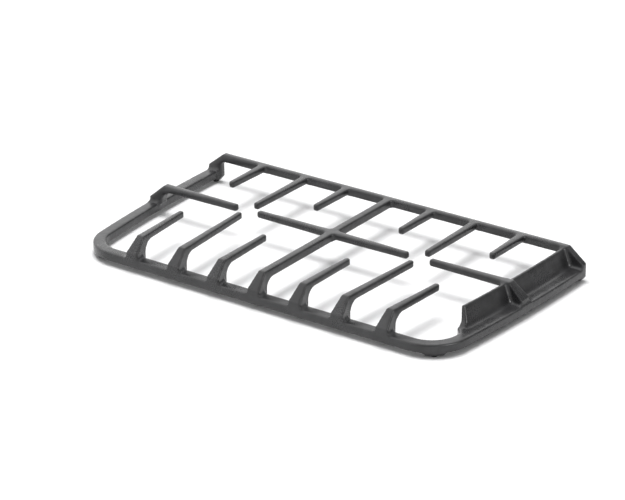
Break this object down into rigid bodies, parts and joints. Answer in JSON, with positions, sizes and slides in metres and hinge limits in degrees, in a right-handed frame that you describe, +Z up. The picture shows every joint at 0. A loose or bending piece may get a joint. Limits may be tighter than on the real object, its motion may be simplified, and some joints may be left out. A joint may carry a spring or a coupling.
{
  "type": "gas hob pan support",
  "caption": "Cast-iron gas hob pan support: a low rim on three sides, a raised far rail, fingers pointing in at the burners, a short wall on one end and rubber feet",
  "frame": {"origin": "centre of the bounding box in plan, on the surface that the rubber feet stand on", "axes": "+X along the line through the two burners, towards the end with the wall; +Y from the near rim to the raised far rail; +Z up, out of the pan-bearing plane"},
  "size_m": [0.481, 0.2504, 0.0355],
  "materials": {
    "casting": "matt black enamel over a fine sand-cast grain",
    "foot_rubber": "soft matt black rubber"
  },
  "bodies": {
    "root": {"rim_near": "casting", "rim_corner_left": "casting", "rim_corner_right": "casting", "rim_end_left": "casting", "rim_end_right": "casting", "rail_far": "casting", "post_left": "casting", "post_right": "casting", "centre_bar": "casting", "centre_arm_left": "casting", "centre_arm_right": "casting", "end_arm_left": "casting", "end_arm_right": "casting", "end_wall_ledge": "casting", "end_wall_near": "casting", "end_wall_far": "casting", "end_wall_web": "casting", "near_finger_1": "casting", "near_finger_2": "casting", "near_finger_3": "casting", "near_finger_4": "casting", "near_finger_5": "casting", "near_finger_6": "casting", "far_finger_1": "casting", "far_finger_2": "casting", "far_finger_3": "casting", "far_finger_4": "casting", "far_finger_5": "casting", "far_finger_6": "casting", "foot_near_left": "foot_rubber", "foot_near_right": "foot_rubber", "foot_far_left": "foot_rubber", "foot_far_right": "foot_rubber"}
  },
  "joints": []
}
